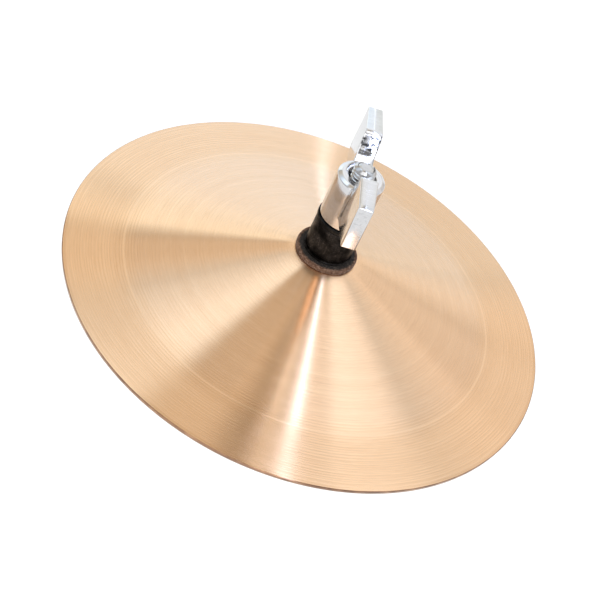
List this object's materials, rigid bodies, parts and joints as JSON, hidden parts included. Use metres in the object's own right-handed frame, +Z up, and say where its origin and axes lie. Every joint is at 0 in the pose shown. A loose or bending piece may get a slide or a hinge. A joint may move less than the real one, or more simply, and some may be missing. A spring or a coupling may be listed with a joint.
{
  "type": "cup chime",
  "caption": "Small conical bronze chime clamped between felts on a threaded rod, with a black spacer, a chromed wing nut and a tapped adapter for a stand",
  "frame": {"origin": "middle of the adapter's lower face, at the mouth of its thread for the stand", "axes": "+Z runs up the rod, which is the chime's axis of symmetry; the wings lie along Y"},
  "size_m": [0.1268, 0.1268, 0.0692],
  "materials": {
    "adapter_chrome": "bright chrome plating on turned steel",
    "zinc_steel": "zinc-plated steel, slightly dull",
    "rod_steel": "rolled thread on bright plated steel",
    "washer_chrome": "pressed steel washer, chrome plated",
    "felt": "dense grey-brown wool felt, speckled",
    "chime_bronze": "lathe-turned bronze with fine circular grooves under clear lacquer",
    "sleeve_black": "black nylon, satin with fine turning marks",
    "washer_black": "smooth black nylon",
    "nut_chrome": "bright chrome plating on die-cast zinc"
  },
  "bodies": {
    "stand": {"stand_adapter": "adapter_chrome", "lock_nut": "zinc_steel", "threaded_rod": "rod_steel", "seat_washer": "washer_chrome", "rod_sleeve": "sleeve_black", "spacer_sleeve": "sleeve_black"},
    "lower_felt": {"lower_felt": "felt"},
    "upper_felt": {"upper_felt": "felt"},
    "chime": {"chime": "chime_bronze"},
    "nut_washer": {"nut_washer": "washer_black"},
    "wing_nut": {"wing_nut": "nut_chrome"}
  },
  "joints": [
    {"name": "nut_lift", "type": "slide", "parent": "stand", "child": "nut_washer", "axis": [0, 0, 1], "range_m": [0, 0.006]},
    {"name": "nut_turn", "type": "hinge", "parent": "nut_washer", "child": "wing_nut", "pos_m": [0, 0, 0.056], "axis": [0, 0, 1], "range_deg": [0, 2160]},
    {"name": "rock_sideways", "type": "hinge", "parent": "stand", "child": "lower_felt", "pos_m": [0, 0, 0.03475], "axis": [0, 1, 0], "range_deg": [-3, 3], "stiffness_Nm_per_rad": 0.4, "deforming": ["lower_felt"]},
    {"name": "rock_forward", "type": "hinge", "parent": "lower_felt", "child": "upper_felt", "pos_m": [0, 0, 0.03475], "axis": [1, 0, 0], "range_deg": [-3, 3], "stiffness_Nm_per_rad": 0.4, "deforming": ["upper_felt"]},
    {"name": "chime_spin", "type": "hinge", "parent": "upper_felt", "child": "chime", "pos_m": [0, 0, 0.03475], "axis": [0, 0, 1], "continuous": true}
  ],
  "couplings": [
    {"joint": "nut_turn", "follows": "nut_lift", "rad_per_m": 6283.1}
  ]
}
